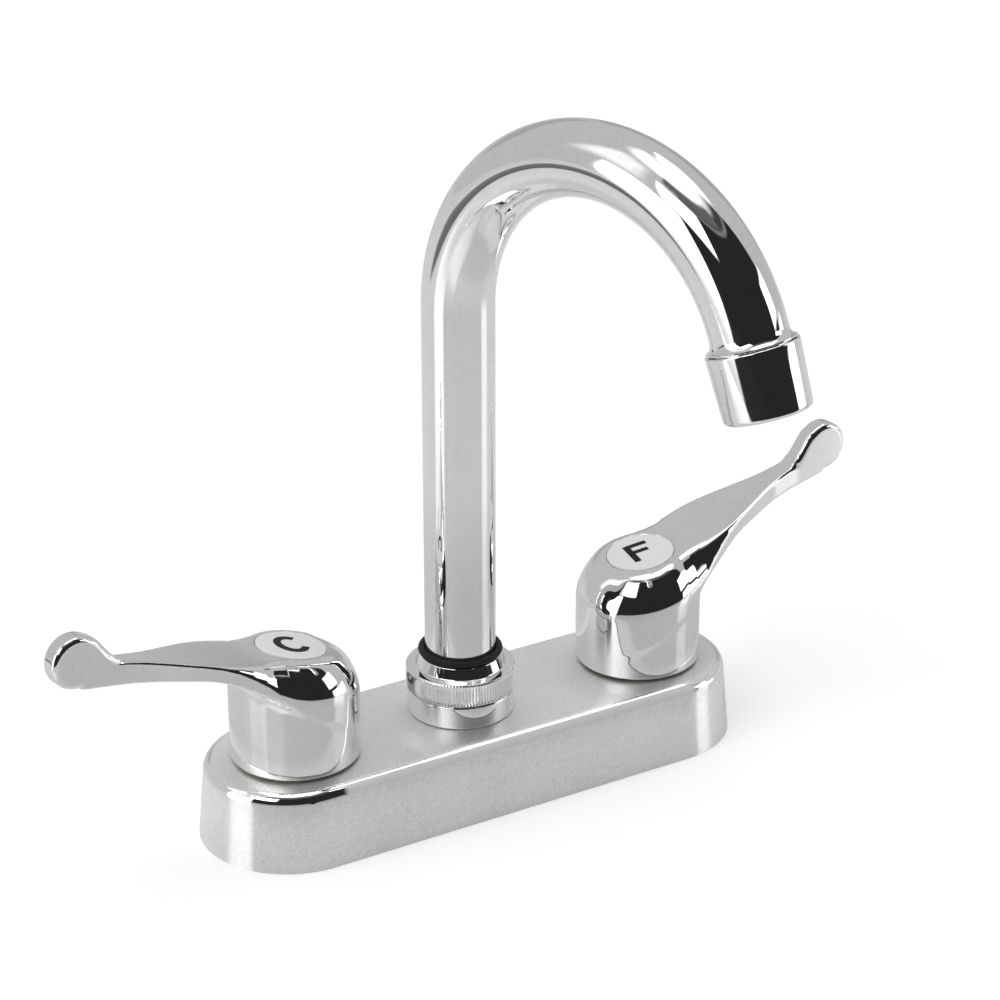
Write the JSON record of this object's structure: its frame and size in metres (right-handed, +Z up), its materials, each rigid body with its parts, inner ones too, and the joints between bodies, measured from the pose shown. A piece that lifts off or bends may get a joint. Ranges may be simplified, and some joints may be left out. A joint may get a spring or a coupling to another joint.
{
  "type": "centreset basin mixer tap",
  "caption": "Centreset basin mixer tap: oblong base, lever handles for hot and cold, and a high gooseneck spout that swivels in a knurled nut.",
  "frame": {"origin": "middle of the base's underside, on the basin's deck", "axes": "+X to the cold side, -Y to the user, +Z up"},
  "size_m": [0.237, 0.1241, 0.2297],
  "materials": {
    "chrome": "polished",
    "brass": "machined",
    "rubber": "matte",
    "ceramic": "polished",
    "index_white": "gloss",
    "steel": "brushed",
    "white_plastic": "matte",
    "grey_plastic": "matte"
  },
  "bodies": {
    "base": {"base_cover": "chrome", "base_gasket": "rubber", "spout_tee": "brass", "spout_post": "chrome", "spout_nut": "chrome", "spout_friction_washer": "white_plastic", "hot_valve_body": "brass", "hot_cross_tube": "brass", "hot_cover_locknut": "brass", "hot_mount_washer": "steel", "hot_mount_nut": "grey_plastic", "hot_cartridge_housing": "brass", "hot_housing_ring": "rubber", "hot_seat_seal": "rubber", "hot_fixed_disc": "ceramic", "cold_valve_body": "brass", "cold_cross_tube": "brass", "cold_cover_locknut": "brass", "cold_mount_washer": "steel", "cold_mount_nut": "grey_plastic", "cold_cartridge_housing": "brass", "cold_housing_ring": "rubber", "cold_seat_seal": "rubber", "cold_fixed_disc": "ceramic"},
    "hot_handle": {"hot_lever": "chrome", "hot_index_disc": "index_white", "hot_handle_screw": "steel", "hot_stem": "brass", "hot_moving_disc": "ceramic", "hot_stem_ring": "rubber", "hot_stem_clip": "steel"},
    "cold_handle": {"cold_lever": "chrome", "cold_index_disc": "index_white", "cold_handle_screw": "steel", "cold_stem": "brass", "cold_moving_disc": "ceramic", "cold_stem_ring": "rubber", "cold_stem_clip": "steel"},
    "spout": {"spout_tube": "chrome", "spout_collar": "brass", "spout_lower_seal": "rubber", "spout_upper_seal": "rubber", "spout_trim_ring": "rubber", "outlet_sleeve": "chrome", "aerator_housing": "chrome", "aerator_washer": "rubber", "aerator_insert": "white_plastic", "aerator_screen": "steel"}
  },
  "joints": [
    {"name": "hot_turn", "type": "hinge", "parent": "base", "child": "hot_handle", "pos_m": [-0.0508, 0, 0], "axis": [0, 0, 1], "range_deg": [0, 90]},
    {"name": "cold_turn", "type": "hinge", "parent": "base", "child": "cold_handle", "pos_m": [0.0508, 0, 0], "axis": [0, 0, 1], "range_deg": [-90, 0]},
    {"name": "spout_swivel", "type": "hinge", "parent": "base", "child": "spout", "pos_m": [-0.0033, 0, 0], "axis": [0, 0, 1], "continuous": true}
  ]
}
